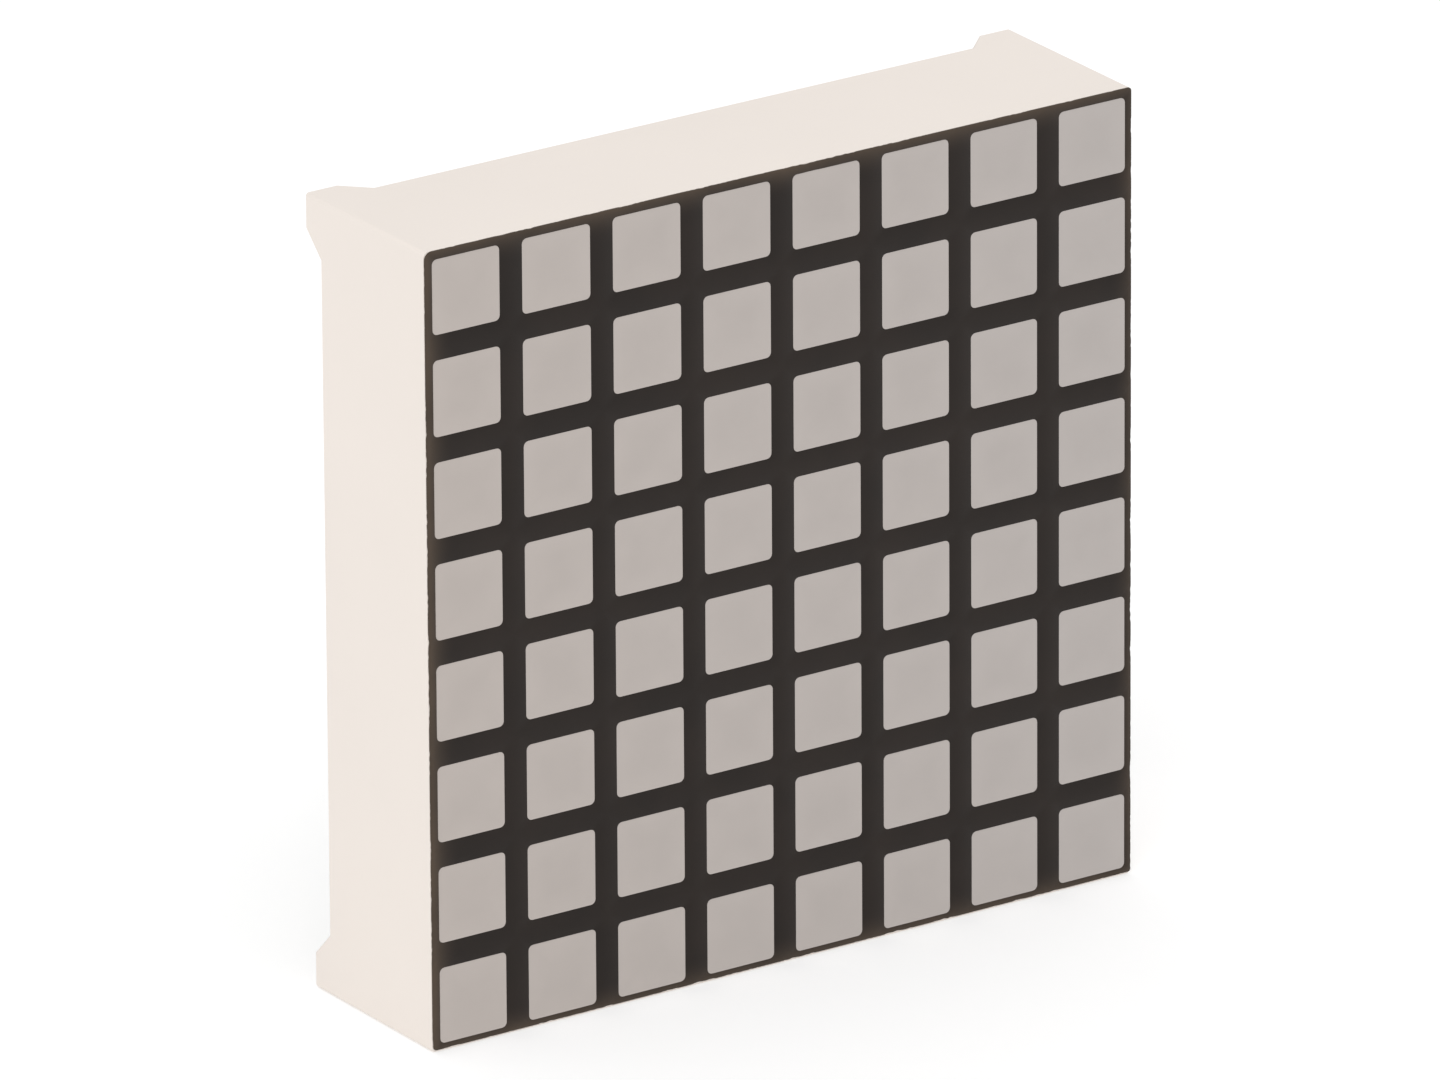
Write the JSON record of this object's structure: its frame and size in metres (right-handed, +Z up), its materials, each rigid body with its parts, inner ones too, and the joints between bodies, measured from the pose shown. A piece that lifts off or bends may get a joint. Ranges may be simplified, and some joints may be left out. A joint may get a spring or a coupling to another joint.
{
  "type": "led dot matrix display",
  "caption": "Square LED dot matrix display: white moulded housing, dark printed face, grey resin dots, corner feet, and rows of round pins behind.",
  "frame": {"origin": "centre of the lower side, midway between the printed face and the rear edge of the walls", "axes": "+X to the right seen from the front, +Z up, and the printed face looks along -Y"},
  "size_m": [0.0316, 0.0125, 0.0316],
  "materials": {
    "housing_plastic": "moulded, satin",
    "face_ink": "printed ink, satin",
    "dot_resin": "cast, diffused, glossy",
    "board_laminate": "coated laminate",
    "copper": "etched copper",
    "solder": "bright solder",
    "seal_resin": "poured, milky, glossy",
    "chip": "semiconductor crystal",
    "gold_wire": "drawn gold wire",
    "tinned_pin": "tinned, satin"
  },
  "bodies": {
    "root": {"housing": "housing_plastic", "face_mask": "face_ink", "resin_fill": "dot_resin", "circuit_board": "board_laminate", "row_tracks": "copper", "column_tracks": "copper", "solder_joints": "solder", "back_seal": "seal_resin", "led_chips_row_1": "chip", "led_chips_row_2": "chip", "led_chips_row_3": "chip", "led_chips_row_4": "chip", "led_chips_row_5": "chip", "led_chips_row_6": "chip", "led_chips_row_7": "chip", "led_chips_row_8": "chip", "bond_wires_row_1": "gold_wire", "bond_wires_row_2": "gold_wire", "bond_wires_row_3": "gold_wire", "bond_wires_row_4": "gold_wire", "bond_wires_row_5": "gold_wire", "bond_wires_row_6": "gold_wire", "bond_wires_row_7": "gold_wire", "bond_wires_row_8": "gold_wire", "pin_1": "tinned_pin", "pin_2": "tinned_pin", "pin_3": "tinned_pin", "pin_4": "tinned_pin", "pin_5": "tinned_pin", "pin_6": "tinned_pin", "pin_7": "tinned_pin", "pin_8": "tinned_pin", "pin_9": "tinned_pin", "pin_10": "tinned_pin", "pin_11": "tinned_pin", "pin_12": "tinned_pin", "pin_13": "tinned_pin", "pin_14": "tinned_pin", "pin_15": "tinned_pin", "pin_16": "tinned_pin"}
  },
  "joints": []
}
